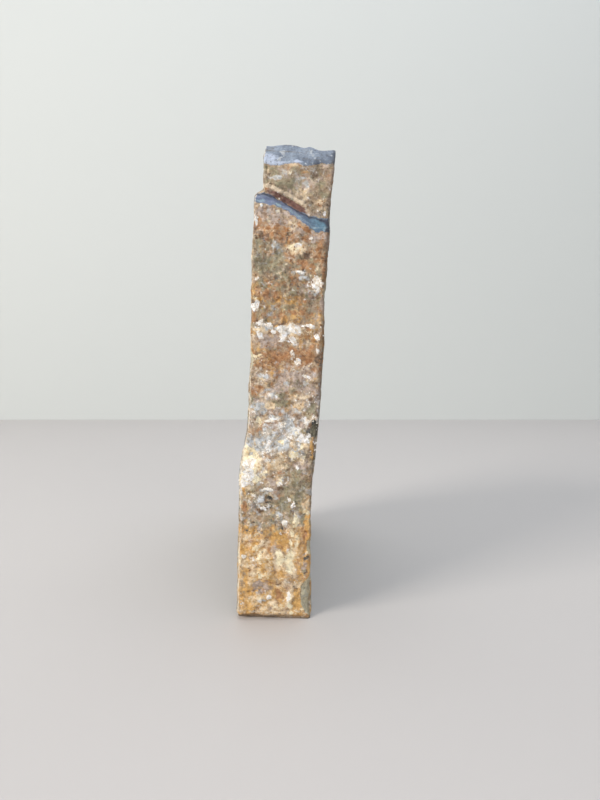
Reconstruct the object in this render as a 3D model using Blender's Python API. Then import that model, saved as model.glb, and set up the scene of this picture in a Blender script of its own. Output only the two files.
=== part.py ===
"""A soapstone slab: one stone standing on its sawn foot, split flat on two sides and weathered all round its edge.

The frame is metres with +Z up. The origin is on the foot, under the middle of the slab's box. X runs through the
slab's thickness and Y through its depth. The weathered front edge faces -Y.
"""

import math

import bmesh
import bpy
import numpy as np
from mathutils import Vector, noise

MM = 0.001

# Driving sizes, in millimetres.
HEIGHT = 210.6
FRONT_Y = -75.0
CREST_Z = 178.0  # where the top edge turns down into the back edge

# Where each split face crosses the front edge: (height, x). The slab leans a little and bends at a third of its height.
LEFT_FACE = ((0, -21.8), (30, -20.8), (56, -19.8), (64, -19.8), (73, -19.3), (83, -17.4), (93, -16.0),
             (105, -15.4), (135, -15.0), (165, -14.2), (182, -13.1), (192, -12.8), (210, -12.6))
RIGHT_FACE = ((0, 11.6), (41, 12.2), (66, 12.9), (77, 13.8), (88, 15.2), (98, 16.1), (113, 16.7), (135, 17.9),
              (155, 18.7), (169, 19.6), (185, 20.5), (194, 21.4), (210, 22.6))
BEND_DROP = 0.10  # how fast the bend runs down towards the back, in mm per mm

# The outline seen from the side: front and back edges as (height, y), top edge as (y, height).
FRONT_EDGE = ((0, -75.9), (45, -75.2), (110, -74.4), (165, -75.0), (210, -74.8))
BACK_EDGE = ((0, 60.0), (14, 66.5), (31, 71.0), (50, 75.0), (69, 72.0), (95, 71.5), (119, 64.0), (141, 62.5),
             (160, 54.5), (CREST_Z, 47.5))
TOP_EDGE = ((-66, HEIGHT), (-47, 209.8), (-31, 203.5), (-9, 202.5), (10, 195.0), (30, 192.0), (47.5, CREST_Z))
CREST_DROP = ((-13, -0.8), (-7, 0.1), (5.5, 0.0), (8, 0.9), (12, 0.9), (14, 1.8), (23, 1.9))  # (x, how much lower the crest is)

# The ledge: a piece broken off the front above a slanting line, given as (x, height) of its outer and inner corners.
LEDGE_FOOT = ((-13, 185.2), (-5, 183.8), (1, 181.2), (7, 176.6), (12, 173.2), (21, 171.8))
LEDGE_HEAD = ((-13, 190.2), (-5, 188.4), (1, 185.6), (7, 182.2), (12, 179.6), (21, 178.8))
LEDGE_DEPTH = 4.6
LEDGE_CREVICE = 1.4  # how much deeper the crack along the ledge's inner corner is
CREST_BEVEL_Z = 201.5  # above this the front edge slopes back to the top
CREST_BEVEL_DEPTH = 4.4

# The scar of a lost corner flake on the left face, at the top.
SCAR_Z = 188.9
SCAR_RISE = 0.1
SCAR_DEPTH = 3.2

# Below a slanting line the front edge stands a little proud: (x, height) along the line.
SHOULDER = ((-20, 68.0), (-8, 73.0), (4, 84.0), (16, 90.0))
SHOULDER_DEPTH = 1.8

# The foot is undercut along the front, deeper on the left.
UNDERCUT_Z = 2.3
UNDERCUT_LEFT = 3.2
UNDERCUT_RIGHT = 0.5

# Broken places on the front edge's corners: (side, height, half length, depth back and in).
CORNER_BREAKS = (
    (1, 11.0, 11.0, 3.4),
    (1, 86.5, 4.5, 3.0),
    (1, 34.0, 5.0, 1.6),
    (-1, 118.0, 6.0, 1.4),
    (-1, 71.5, 2.2, 1.0),
    (1, 148.0, 6.0, 1.2),
)

# Weathered relief on the edge: (wavelength, height of the lumps).
SKIN_RELIEF = ((17.0, 1.25), (7.5, 0.85), (3.6, 0.42))
CLEFT_RELIEF = ((34.0, 0.55), (12.0, 0.22))
PIT_SPACING = 8.5
PIT_RADIUS = 2.3
PIT_DEPTH = 1.1
CHIP_WAVELENGTH = 6.0
CHIP_DEPTH = 1.0
CHIP_REACH = 2.6

# Thin layers split away from the faces: (seed, wavelength, threshold, step).
LEFT_LAYERS = ((3.1, 62.0, 0.05, 0.95), (7.7, 38.0, 0.16, 0.7), (12.3, 24.0, 0.24, 0.5))
RIGHT_LAYERS = ((21.9, 58.0, 0.03, 1.0), (27.2, 34.0, 0.14, 0.7), (33.8, 22.0, 0.25, 0.45))
LAYER_EDGE = 0.02

# Grid of the first, fine mesh, and the triangles kept.
CELLS_X, CELLS_Y, CELLS_Z = 26, 52, 190
TRIANGLES = 9400
ROUNDING_PASSES = 1


def smooth_step(value, low=0.0, high=1.0):
    """0 below low, 1 above high, and an S-shaped rise between them."""
    share = np.clip((value - low) / (high - low), 0.0, 1.0)
    return share * share * (3.0 - 2.0 * share)


def curve(points, at):
    """A smooth curve through (position, value) points, read at the positions in at."""
    xs, ys = np.array(points, float).T
    slopes = np.gradient(ys, xs)
    at = np.clip(at, xs[0], xs[-1])
    i = np.clip(np.searchsorted(xs, at) - 1, 0, len(xs) - 2)
    width = xs[i + 1] - xs[i]
    t = (at - xs[i]) / width
    rise = ys[i + 1] - ys[i]
    bow = t * (1 - t) * ((1 - t) * (slopes[i] * width - rise) - t * (slopes[i + 1] * width - rise))
    return ys[i] + rise * t + bow


def smooth_noise(points, wavelength, seed):
    """Gradient noise, about -1 to 1, at an array of points in millimetres."""
    shift = Vector((seed, seed * 1.7, seed * 2.3))
    return np.array([noise.noise(Vector(p) / wavelength + shift) for p in points])


def on_face(y, z):
    """The points of a face as an array, for the noise."""
    return np.stack([np.zeros_like(y), y, z], axis=1)


def layers(fields, y, z):
    """How far the surface is set back where thin layers have split away."""
    depth = np.zeros_like(y)
    for seed, wavelength, threshold, step in fields:
        depth += step * smooth_step(smooth_noise(on_face(y, z), wavelength, seed), threshold, threshold + LAYER_EDGE)
    return depth


def left_x(y, z):
    """The left split face, with the scar of its lost corner."""
    back = y - FRONT_Y
    inside = smooth_step(back, 0.0, 20.0)
    sway = 1.1 * inside * smooth_noise(on_face(y, z), 55.0, 41.0)
    scar_line = SCAR_Z + SCAR_RISE * back + inside * 1.5 * smooth_noise(on_face(y, z), 9.0, 44.0)
    scar = SCAR_DEPTH * smooth_step(z, scar_line, scar_line + 1.0)
    return curve(LEFT_FACE, z + BEND_DROP * back) + sway + inside * layers(LEFT_LAYERS, y, z) + scar


def right_x(y, z):
    """The right split face."""
    back = y - FRONT_Y
    inside = smooth_step(back, 0.0, 20.0)
    sway = 1.1 * inside * smooth_noise(on_face(y, z), 55.0, 51.0)
    return curve(RIGHT_FACE, z + BEND_DROP * back) + sway - inside * layers(RIGHT_LAYERS, y, z)


def across(w, y, z):
    """x at a share w of the way from the left face to the right one."""
    left, right = left_x(y, z), right_x(y, z)
    return left + (right - left) * w


def front_point(w, v):
    """(y, z) on the front edge: the ledge, the bevel above it, the undercut foot and the broken corners."""
    z = v * HEIGHT
    y = curve(FRONT_EDGE, z)
    x = across(w, y, z)
    foot, head = curve(LEDGE_FOOT, x), curve(LEDGE_HEAD, x)
    up = (z - foot) / (head - foot)
    y = y + LEDGE_DEPTH * np.clip(up, 0.0, 1.0) + np.interp(up, (0.4, 1.0, 1.25, 2.2), (0, LEDGE_CREVICE, LEDGE_CREVICE, 0))
    y = y + SHOULDER_DEPTH * smooth_step(z - curve(SHOULDER, x), -1.0, 5.0)
    y = y + CREST_BEVEL_DEPTH * np.clip((z - CREST_BEVEL_Z) / (HEIGHT - CREST_BEVEL_Z), 0.0, 1.0) ** 1.3
    undercut = UNDERCUT_LEFT + (UNDERCUT_RIGHT - UNDERCUT_LEFT) * w
    y = y + undercut * smooth_step(-z, -UNDERCUT_Z, -UNDERCUT_Z + 1.2)
    left, right = left_x(y, z), right_x(y, z)
    for side, middle, half_length, depth in CORNER_BREAKS:
        from_corner = (right - x) if side > 0 else (x - left)
        along = 1.0 - np.abs(z - middle) / half_length
        y = y + np.clip(depth * np.minimum(1.0, 1.6 * along) - 0.8 * from_corner, 0.0, None) * (along > 0)
    return y, z


def back_point(w, v):
    """(y, z) on the back edge, which is rounded across the slab like the skin of a boulder."""
    z = v * CREST_Z
    return curve(BACK_EDGE, z) - 28.0 * np.abs(w - 0.45) ** 2.2, z


def top_point(w, u):
    """(y, z) on the top edge, slightly rounded across."""
    y = TOP_EDGE[0][0] + u * (TOP_EDGE[-1][0] - TOP_EDGE[0][0])
    return y, curve(TOP_EDGE, y) - 20.0 * u * np.abs(w - 0.5) ** 2.0


def coons(w, u, v):
    """(y, z) inside the outline, from its four edges at the same share w of the thickness."""
    zero, one = np.zeros_like(u), np.ones_like(u)
    front, back = np.array(front_point(w, v)), np.array(back_point(w, v))
    front_foot, front_top = np.array(front_point(w, zero)), np.array(front_point(w, one))
    back_foot, back_top = np.array(back_point(w, zero)), np.array(back_point(w, one))
    top_line = np.array(top_point(w, u))
    top_start, top_end = np.array(top_point(w, zero)), np.array(top_point(w, one))
    top = top_line + (1 - u) * (front_top - top_start) + u * (back_top - top_end)
    bottom = front_foot + (back_foot - front_foot) * u
    corners = (1 - v) * bottom + v * (front_top + (back_top - front_top) * u)
    return (1 - v) * bottom + v * top + (1 - u) * front + u * back - corners


def ease_ends(share, strength):
    """Moves the grid lines towards both ends, where the corners are."""
    return share - strength * np.sin(2 * math.pi * share) / (2 * math.pi)


def box_grid():
    """A unit cube cut into a grid, as a bmesh."""
    bm = bmesh.new()
    bmesh.ops.create_cube(bm, size=1.0)
    bmesh.ops.translate(bm, verts=bm.verts, vec=(0.5, 0.5, 0.5))
    for axis, cells in enumerate((CELLS_X, CELLS_Y, CELLS_Z)):
        along = [e for e in bm.edges if abs(e.verts[0].co[axis] - e.verts[1].co[axis]) > 1e-6]
        bmesh.ops.subdivide_edges(bm, edges=along, cuts=cells - 1, use_grid_fill=True)
    return bm


def shaped(shares):
    """The points in millimetres of the stone before its relief, from shares of the box."""
    w = ease_ends(shares[:, 0], 0.45)
    u = ease_ends(shares[:, 1], 0.6)
    v = ease_ends(shares[:, 2], 0.2)
    y, z = coons(w, u, v)
    x = across(w, y, z)
    return np.stack([x, y, z - curve(CREST_DROP, x) * smooth_step(z, 188.0, 204.0)], axis=1)


def pits(points):
    """Round hollows scattered over the weathered skin."""
    depth = np.zeros(len(points))
    for n, p in enumerate(points):
        distances, centres = noise.voronoi(Vector(p) / PIT_SPACING)
        kept = noise.noise(centres[0] * 5.3) > 0.05
        depth[n] = kept * max(0.0, 1.0 - distances[0] * PIT_SPACING / PIT_RADIUS)
    return PIT_DEPTH * smooth_step(depth)


def relief(points, shares):
    """How far each point stands out from the shaped stone, in millimetres."""
    w, u, v = shares.T
    thickness = 32.0
    from_corner = np.minimum(w, 1 - w) * thickness
    to_edge = np.minimum(np.minimum(u, 1 - u) * 140.0, (1 - v) * 190.0)
    on_skin = (u < 1e-6) | (u > 1 - 1e-6) | (v > 1 - 1e-6)
    skin = np.where(on_skin, 1.0, 0.35 * np.exp(-to_edge / 4.0))
    height = np.zeros(len(points))
    for n, (wavelength, amount) in enumerate(SKIN_RELIEF):
        height += skin * amount * smooth_noise(points, wavelength, 60.0 + 3 * n)
    for n, (wavelength, amount) in enumerate(CLEFT_RELIEF):
        height += (1 - skin) * amount * smooth_noise(points, wavelength, 80.0 + 3 * n)
    near_corner = np.exp(-np.where(on_skin, from_corner, to_edge) / CHIP_REACH)
    chips = smooth_step(smooth_noise(points, CHIP_WAVELENGTH, 91.0), 0.0, 0.5)
    height -= CHIP_DEPTH * near_corner * chips
    return height - skin * pits(points)


def stone_mesh():
    """The stone's fine mesh, closed, in metres."""
    bm = box_grid()
    shares = np.array([v.co for v in bm.verts])
    points = shaped(shares)
    for v, p in zip(bm.verts, points):
        v.co = p
    for _ in range(ROUNDING_PASSES):
        bmesh.ops.smooth_vert(bm, verts=bm.verts, factor=0.5, use_axis_x=True, use_axis_y=True, use_axis_z=True)
    bm.normal_update()
    rounded = np.array([v.co for v in bm.verts])
    normals = np.array([v.normal for v in bm.verts])
    fade = smooth_step(rounded[:, 2], 0.5, 3.0)
    moved = rounded + normals * (relief(rounded, shares) * fade)[:, None]
    moved[shares[:, 2] < 1e-6, 2] = 0.0
    moved[:, 2] = np.maximum(moved[:, 2], 0.0)
    for v, p in zip(bm.verts, moved * MM):
        v.co = p
    mesh = bpy.data.meshes.new("soapstone_slab")
    bm.to_mesh(mesh)
    bm.free()
    return mesh


def stone_material():
    """Weathered soapstone, ochre over blue-grey."""
    material = bpy.data.materials.new("weathered_soapstone")
    material.use_nodes = True
    shader = material.node_tree.nodes["Principled BSDF"]
    shader.inputs["Base Color"].default_value = (0.42, 0.33, 0.22, 1.0)
    shader.inputs["Roughness"].default_value = 0.8
    shader.inputs["Metallic"].default_value = 0.0
    return material


def thinned(obj, triangles):
    """Keeps about that many triangles, most of them where the stone is rough, and leaves the foot flat."""
    decimate = obj.modifiers.new("thin", "DECIMATE")
    decimate.ratio = triangles / (2 * len(obj.data.polygons))
    graph = bpy.context.evaluated_depsgraph_get()
    mesh = bpy.data.meshes.new_from_object(obj.evaluated_get(graph))
    obj.modifiers.clear()
    obj.data = mesh
    for v in mesh.vertices:
        if v.co.z < 0.15 * MM:
            v.co.z = 0.0


def centre_on_foot(mesh):
    """Moves the mesh so that the origin is under the middle of its box."""
    points = np.array([v.co for v in mesh.vertices])
    middle = (points.min(axis=0) + points.max(axis=0)) / 2
    for v in mesh.vertices:
        v.co.x -= middle[0]
        v.co.y -= middle[1]


def main():
    for obj in list(bpy.data.objects):
        bpy.data.objects.remove(obj, do_unlink=True)
    slab = bpy.data.objects.new("slab", stone_mesh())
    bpy.context.scene.collection.objects.link(slab)
    slab.data.materials.append(stone_material())
    thinned(slab, TRIANGLES)
    centre_on_foot(slab.data)


main()
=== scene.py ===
"""A weathered soapstone slab standing on its sawn foot, on a pale studio floor.

Sizes of the stone are in millimetres, and sizes in the materials and the studio in metres.
"""

import math

import bpy
import bmesh
import numpy as np
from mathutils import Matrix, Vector, noise


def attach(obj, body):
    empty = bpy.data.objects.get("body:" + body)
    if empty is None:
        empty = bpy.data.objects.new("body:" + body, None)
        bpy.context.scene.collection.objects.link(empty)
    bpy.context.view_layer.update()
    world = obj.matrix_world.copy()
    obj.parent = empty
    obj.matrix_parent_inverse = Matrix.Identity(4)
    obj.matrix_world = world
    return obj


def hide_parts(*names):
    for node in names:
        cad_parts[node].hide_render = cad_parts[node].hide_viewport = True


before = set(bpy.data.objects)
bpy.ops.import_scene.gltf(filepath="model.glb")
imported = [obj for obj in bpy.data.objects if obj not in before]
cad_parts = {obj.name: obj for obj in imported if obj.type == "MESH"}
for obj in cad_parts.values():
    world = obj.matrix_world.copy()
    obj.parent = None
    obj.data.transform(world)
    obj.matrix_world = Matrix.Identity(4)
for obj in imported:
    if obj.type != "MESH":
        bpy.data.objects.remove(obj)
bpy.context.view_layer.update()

MM = 0.001

# --- The stone's shape. These sizes are the ones its solid is made from. ---

HEIGHT = 210.6
FRONT_Y = -75.0
CREST_Z = 178.0
BOX_MIDDLE = (0.590, -0.732, 0.0)  # what is taken off to stand the stone over the origin

LEFT_FACE = ((0, -21.8), (30, -20.8), (56, -19.8), (64, -19.8), (73, -19.3), (83, -17.4), (93, -16.0),
             (105, -15.4), (135, -15.0), (165, -14.2), (182, -13.1), (192, -12.8), (210, -12.6))
RIGHT_FACE = ((0, 11.6), (41, 12.2), (66, 12.9), (77, 13.8), (88, 15.2), (98, 16.1), (113, 16.7), (135, 17.9),
              (155, 18.7), (169, 19.6), (185, 20.5), (194, 21.4), (210, 22.6))
BEND_DROP = 0.10  # how much lower the bends lie for each millimetre towards the back
FACE_SWAY = (1.1, 55.0)  # how far the broad faces sway, and over what length

FRONT_EDGE = ((0, -75.9), (45, -75.2), (110, -74.4), (165, -75.0), (210, -74.8))
BACK_EDGE = ((0, 60.0), (14, 66.5), (31, 71.0), (50, 75.0), (69, 72.0), (95, 71.5), (119, 64.0), (141, 62.5),
             (160, 54.5), (CREST_Z, 47.5))
TOP_EDGE = ((-66, HEIGHT), (-47, 209.8), (-31, 203.5), (-9, 202.5), (10, 195.0), (30, 192.0), (47.5, CREST_Z))
CREST_DROP = ((-13, -0.8), (-7, 0.1), (5.5, 0.0), (8, 0.9), (12, 0.9), (14, 1.8), (23, 1.9))
BACK_ROUNDING = 28.0
TOP_ROUNDING = 20.0

LEDGE_FOOT = ((-13, 185.2), (-5, 183.8), (1, 181.2), (7, 176.6), (12, 173.2), (21, 171.8))
LEDGE_HEAD = ((-13, 190.2), (-5, 188.4), (1, 185.6), (7, 182.2), (12, 179.6), (21, 178.8))
LEDGE_DEPTH = 4.6
LEDGE_CREVICE = 1.4
CREST_BEVEL_Z = 201.5
CREST_BEVEL_DEPTH = 4.4

SCAR_Z = 188.9
SCAR_RISE = 0.1
SCAR_DEPTH = 3.2

SHOULDER = ((-20, 68.0), (-8, 73.0), (4, 84.0), (16, 90.0))
SHOULDER_DEPTH = 1.8

UNDERCUT_Z = 2.3
UNDERCUT_LEFT = 3.2
UNDERCUT_RIGHT = 0.5

# The breaks of the front's corners: (side, height of the middle, half length, depth).
CORNER_BREAKS = (
    (1, 11.0, 11.0, 3.4),
    (1, 86.5, 4.5, 3.0),
    (1, 34.0, 5.0, 1.6),
    (-1, 118.0, 6.0, 1.4),
    (-1, 71.5, 2.2, 1.0),
    (1, 148.0, 6.0, 1.2),
)

# Relief: (wavelength, how far it stands out).
SKIN_RELIEF = ((17.0, 1.25), (7.5, 0.85), (3.6, 0.42))
CLEFT_RELIEF = ((34.0, 0.55), (12.0, 0.22))
PIT_SPACING = 8.5
PIT_RADIUS = 2.3
PIT_DEPTH = 1.1
CHIP_WAVELENGTH = 6.0
CHIP_DEPTH = 1.0
CHIP_REACH = 2.6

# Thin layers that have split away: (seed, wavelength, threshold, step).
LEFT_LAYERS = ((3.1, 62.0, 0.05, 0.95), (7.7, 38.0, 0.16, 0.7), (12.3, 24.0, 0.24, 0.5))
RIGHT_LAYERS = ((21.9, 58.0, 0.03, 1.0), (27.2, 34.0, 0.14, 0.7), (33.8, 22.0, 0.25, 0.45))
LAYER_EDGE = 0.02

# --- The finish: a finer grid, and the small relief that only the eye needs. ---

CELLS = (36, 84, 200)
RIM = 1e-6  # a share of the box this near to 0 or 1 is on its outside
ROUGH_SPAN = (32.0, 140.0, 190.0)  # thickness, depth and height, near enough to tell how close a corner is
ROUNDING_PASSES = 3
ARRIS_ROUNDING = 1.3
CORNER_WEAR = 0.2  # rubbed off every corner, beside its chips
FINE_SKIN = ((2.4, 0.26), (1.2, 0.17), (0.7, 0.08))
FINE_CLEFT = ((3.0, 0.08), (1.3, 0.06), (0.7, 0.04))
SHEET_WAVELENGTH = 26.0
SHEET_LEVELS = (-0.42, -0.30, -0.12, 0.02, 0.16, 0.27, 0.45)
SHEET_STEP = 0.23
SMALL_PIT_SPACING = 3.4
SMALL_PIT_RADIUS = 0.85
SMALL_PIT_DEPTH = 0.5
FLAKE_WAVELENGTH = 5.2
FLAKE_STEP = 0.32
FLAKE_LEVELS = (-0.25, 0.0, 0.22)
TALC_PROUD = 0.2
DARK_SUNK = 0.35

# Blots of each mineral on the front edge, from the top down: (x, height, half width, half height), and for a few
# of them their turn in degrees.
BLOTS = {
    "talc": (
        (-9.7, 183, .5, .8), (15.2, 181.8, .6, .6), (18.2, 181.5, .6, .6), (-12.1, 177, .8, 1.9),
        (12.1, 169.4, .6, .6), (5.6, 166, 1.5, .9), (7, 155.1, 1.9, .6), (-11.7, 152.2, .9, .5),
        (14, 150.4, 2.4, 2.6), (-12.8, 140.6, 1.7, 2.3), (-9.6, 133.3, 2.2, 1.3), (-6.2, 132.6, 1.6, 1),
        (10.4, 131.8, 2.4, .6), (-.8, 131, 2.2, 1.6), (4.6, 130.8, 2.4, 1.9), (-5, 129.4, .9, .7),
        (-10.8, 128.6, 1, 1), (-.6, 127.6, 1.4, 1.6), (14.5, 127, .9, 1.2), (4, 125.6, 1.8, 1.2, -35),
        (14.7, 121.7, .9, 1.1), (3.5, 120.4, .9, 1.4), (5.9, 116.5, 1.1, 1.3), (8.6, 110, 1.8, .8),
        (-5, 91, 3, .8, 12), (-.5, 87.6, .8, 1.7), (3, 83.6, .9, .7), (8.6, 82.2, 2.4, .9), (-7.3, 79.6, .8, 2.2),
        (-15.4, 71, 2.4, 2.2), (5.8, 69.4, .6, 1.4), (-15.6, 66, 2, 1.7), (-18, 62.6, 1.2, 1), (-2, 62, 1, .7),
        (-8.2, 60.2, 2.6, .6), (-13.6, 57, .8, .7), (1.6, 55, .8, .9), (3.9, 52.6, .6, 1.3), (-8.8, 51.8, 2.6, .6),
        (-.2, 44.8, 1, .9), (-1.6, 39.9, .8, .5), (-18.2, 28.8, 1, .9), (1.5, 10.6, .7, 2), (-7.4, 10, .8, .7),
        (-11.2, 9.2, .7, .6),
    ),
    "straw": (
        (4.8, 165.6, 2.4, 1.7), (-12.4, 119.2, 1.6, .8), (-11.5, 90.2, 1, 1.1), (-2, 81.5, 1.5, .9),
        (5.8, 77.2, 3.4, 1.2, 38), (-15.2, 72.6, 3.6, 5.6, 12), (-18.2, 65, 1.6, 3), (-12.5, 64.5, 2, 1.2),
        (9.6, 50, 1.4, 1.6), (5, 45.6, 1.6, 2.4), (3, 40.2, .9, 2.4), (2.5, 35.2, 1, 2.6), (-2.2, 28.2, 1.9, 2.8),
        (2.2, 27.8, 1.4, 5), (-11, 20, 1.2, 1.2), (1.6, 8.8, .9, 3.4),
    ),
    "lilac": (
        (-7.5, 179.5, 6.5, 3.2, -12), (1.6, 176.2, 3.4, 1.4, -35), (7.6, 172.6, 2.4, 1.1, -30),
        (15.6, 170.8, 2.4, 2.4), (11, 146.2, 4.4, 2.2), (16.8, 141.5, 1.4, 4), (-2.6, 126, 3, 2.2),
        (-8.6, 125.2, 4.6, 3.4), (-1.2, 110, 14, 2), (-1, 105.6, 5.6, 2.6), (8.6, 105, 2.4, 1.2),
        (7.6, 92.4, 2.2, 1.4), (-4.6, 88.6, 3, 1.2, 10), (7.2, 88.2, 2, 1.4), (7.2, 71.2, 3.4, 2.2, 20),
        (-6.3, 63.6, 2.4, 1.7), (5.8, 51.6, 1.4, 1.8), (-3, 29.5, 2.8, 4.6), (9.4, 25, 1.4, 2.2),
        (-10.6, 15.8, 4, 3.2),
    ),
    "olive": (
        (-5.2, 199.4, 2.8, 1.4), (-5.6, 195, 2.2, 1.2), (-2.7, 193.8, 2.4, 1.6), (-7.4, 193.6, 1.6, 1.9),
        (1, 192.6, 3.4, 1.8, -20), (17.8, 190.5, 2.4, 6), (-4, 160.1, 4.9, 7.6), (-11.3, 159.9, 2.8, 9.6),
        (.6, 154.9, 2.2, 2), (1.3, 129, 1.4, 1.5), (-1.5, 102, 2.4, 1.6), (-1, 98.6, 6, 1.6), (12.6, 96, 1.4, 4),
        (10.8, 93.4, 2.4, 1.9), (9, 86.4, 2.2, 1.4, -30), (7, 65, 6.4, 4.6, 20), (4, 57.6, 4.6, 3.4),
        (-1, 52.6, 6.4, 5.4), (-10.3, 46.6, 4.6, 2.4), (9.6, 28, 1.4, 1.4), (9.4, 22, 1.5, 1.5), (9.4, 12, 1, 6),
    ),
    "rust": (
        (-2.4, 198.1, 1.2, .6), (9, 197.7, 1.6, .5), (-7.4, 191.4, 1.4, 1), (15.6, 185, 1.7, 1.4), (9, 173.5, 2, 1.4),
        (-2.1, 173, 4.4, 2), (15.6, 163.9, 2, 4.4), (7.5, 159.4, 5, 1.2), (12.5, 157.5, 3, 1.4),
        (16.9, 156.8, 1.1, 4), (-9, 146.5, 4, 2.6), (5.5, 138, 6, 1.6), (9.2, 128.2, 4.2, 3.1),
        (-1.2, 119.6, 14, 3.2), (-9.3, 114.8, 5, 1.8), (-11.6, 104.2, 3.2, 2.8), (6, 102.2, 1.8, 1.2),
        (-2.4, 93.8, 1.6, 1.2), (-11, 86.8, 2.8, 1.4), (-3.6, 66.8, 3.6, .9, 25), (-18.2, 50.8, 1.6, 5),
        (8.4, 38.8, 1.4, 2.6), (5.9, 26.4, 1, 2.6), (-5.2, 17, .9, 1.3), (-2.2, 11, 1.8, 3),
    ),
    "gold": (
        (-10.2, 143.6, 2.2, 1.6), (-1, 142.5, 6.5, 1.5), (12.2, 79, .9, 6), (-4.6, 71, 3.2, 1.7, 38),
        (-18.6, 60.5, 1.5, 3), (9.8, 42, 1.6, 8), (9.8, 39, 2, 4), (-3.4, 38.4, 3.6, 2.2), (-18.2, 34, 1.5, 2.4),
        (6.8, 20.6, 1.2, 2.4), (-17.8, 12, 2, 9), (5.4, 8, 2, 4.4),
    ),
    "cream": (
        (-3, 196.2, 4.4, .7), (9, 195.3, 1.8, .6), (8.8, 188.6, 1.6, 1.5), (15.3, 185.4, 1.5, 1.2),
        (-14.2, 181, 1, 2.4), (5.6, 165, 4.4, 3), (14.4, 157.2, .8, 1.7), (-2.8, 155, 1, .9), (11.3, 134.6, .9, .9),
        (-9, 130, 3.4, 1.6), (2.4, 129.4, 5.5, 3.6), (-11.5, 124, 1.6, 1.6), (-12.2, 118.8, 2.4, .9),
        (-10, 109.6, 3, .7, 10), (8, 101, 2.4, .9), (-6, 97, 3, 1.4), (6.4, 97, 2.5, 1.1), (9.4, 79.6, 1.6, 3.2),
        (2.4, 79, 4.4, 1.8, 38), (-14, 74, 5, 7, 10), (-3.6, 72.4, 4.8, 2.6, 38), (9.8, 54, 1.8, 4),
        (-15.4, 37.6, 4, 1.6), (-2.5, 27.5, 3.6, 5.2), (1.4, 9, 1.8, 5), (-16, 3.8, 5, 1.2), (-2, 3.6, 12, .6),
    ),
    "ash": (
        (-3.4, 196.3, 3.8, .7), (9, 195.3, 2, .6), (-4, 165.6, 1.8, 2.4), (7, 155, 3.2, .9), (8.7, 152.8, 1.9, 1),
        (12, 147.4, 3.4, 1.4), (-4.6, 131, 3.4, 1.3), (1.3, 129, 1.4, 1.5), (-9.4, 110.6, 3, 1, -20),
        (.5, 107, 2, 1.2), (-12, 97.6, 3.4, 1.7), (-9, 94.5, 2.6, 1.2), (-4.4, 92.4, 2.2, 1.4), (2.2, 87, 2.6, 3.4),
        (-9, 81, 6.6, 4), (-1, 81, 5.4, 4), (-14, 79.4, 3.4, 4.4), (-8.2, 60, 3.4, 1.1), (-4, 56.8, 1.6, 1.6),
        (-10.4, 55.8, 1.8, 1.5), (-9, 51.8, 3.4, 1.2), (-11.6, 50, 1.6, 1.3), (9.5, 9, .9, 5), (-9.4, 8.8, 1.4, .9),
    ),
    "umber": (
        (-6.6, 197.4, .8, 1.4), (-4.4, 193.4, 2, .9), (3, 171.6, 2.2, .8), (-12.2, 171, 1, 1.8),
        (-9.5, 170.6, 2.2, 1.4), (2.2, 154.6, 1.4, 1), (6, 152.4, 2.2, .9), (-9.5, 124.2, 2, .7),
        (14.5, 117.4, 1.4, 1.8), (11.8, 100, 1.2, 1.4), (13.4, 92.6, 1.2, 1.8), (2, 86.8, 2, .7, 30),
        (12.2, 86.6, 1.9, 2.9), (7, 70.4, 2.4, 1.4, 20), (-3.2, 66.4, 2.8, .6, 28), (-2, 59.5, 2.4, .8, -10),
        (-1, 41.8, 1.1, .9), (9.4, 28, 1.5, 1.8), (9.8, 21.4, 1, .8), (-3.4, 16.2, 1.4, 1),
    ),
    "dark": (
        (1.2, 154.7, 1.3, .9), (13.2, 88.8, 1, 2.6), (12, 85.6, 1.7, 1.4), (-5.8, 56.2, 1.9, 1.4),
        (-6.8, 53.8, 1.5, .5), (-13.8, 44.4, .9, .4), (-1, 41.8, .8, .6), (9.4, 28, 1, .9),
    ),
}

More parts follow.
